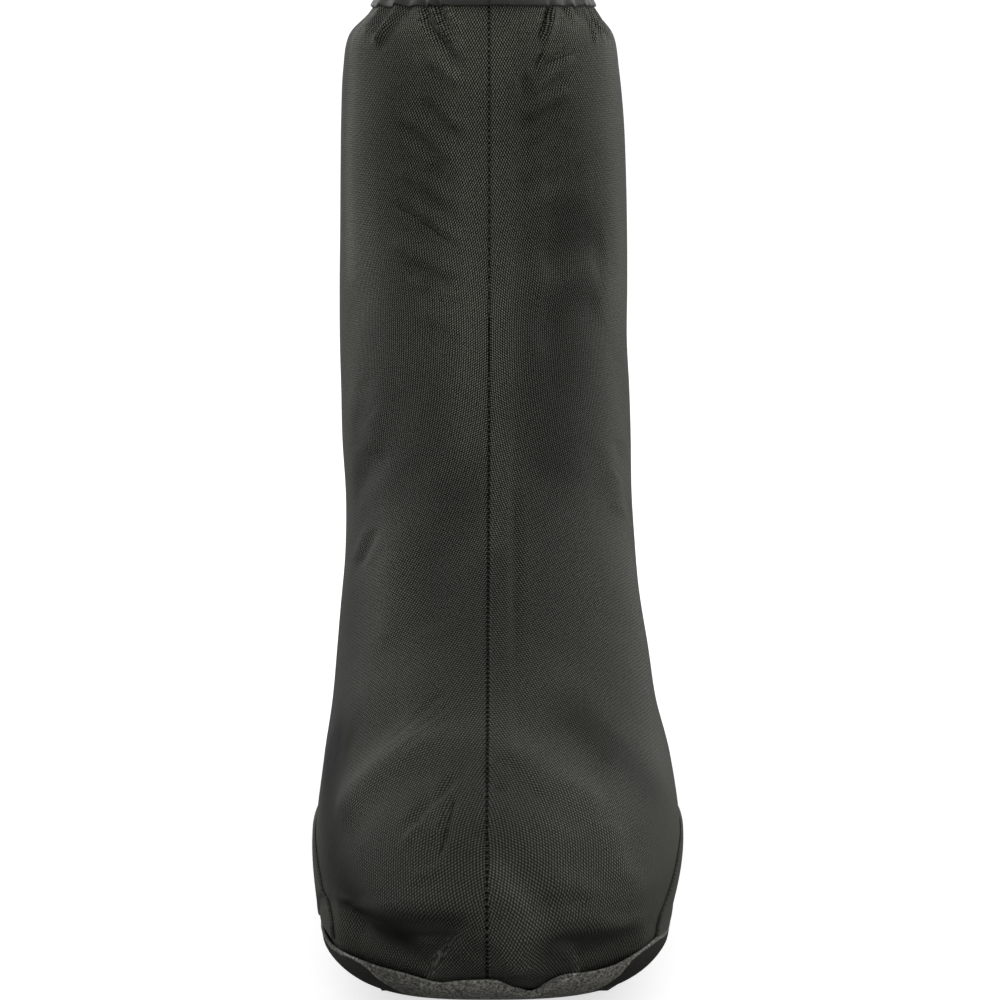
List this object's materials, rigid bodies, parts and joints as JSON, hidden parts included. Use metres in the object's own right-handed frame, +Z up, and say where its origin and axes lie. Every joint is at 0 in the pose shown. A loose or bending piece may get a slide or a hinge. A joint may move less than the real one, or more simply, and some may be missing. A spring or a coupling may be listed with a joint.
{
  "type": "winter overshoe",
  "caption": "Tall hollow fabric overshoe with an open collar, a wrap-round cloth sole, rubber treads, side patches and a rear closing flap.",
  "frame": {"origin": "on the floor, under the middle of the overshoe's bounding box", "axes": "+Z up, toe towards -Y, outer side of the left foot towards +X"},
  "size_m": [0.1162, 0.3072, 0.3002],
  "materials": {
    "woven_cloth": "dark charcoal coated plain weave, soft sheen",
    "sole_cloth": "speckled grey hard-wearing cloth, matte",
    "tread_rubber": "matte black rubber",
    "edge_binding": "smooth elastic edge band",
    "pale_trim": "light grey reflective strip"
  },
  "bodies": {
    "root": {"upper": "woven_cloth", "sole": "sole_cloth", "forefoot_tread": "tread_rubber", "heel_tread": "tread_rubber", "collar_binding": "edge_binding", "side_patch_lateral": "woven_cloth", "side_patch_medial": "woven_cloth", "back_flap": "woven_cloth", "reflective_trim": "pale_trim"}
  },
  "joints": []
}
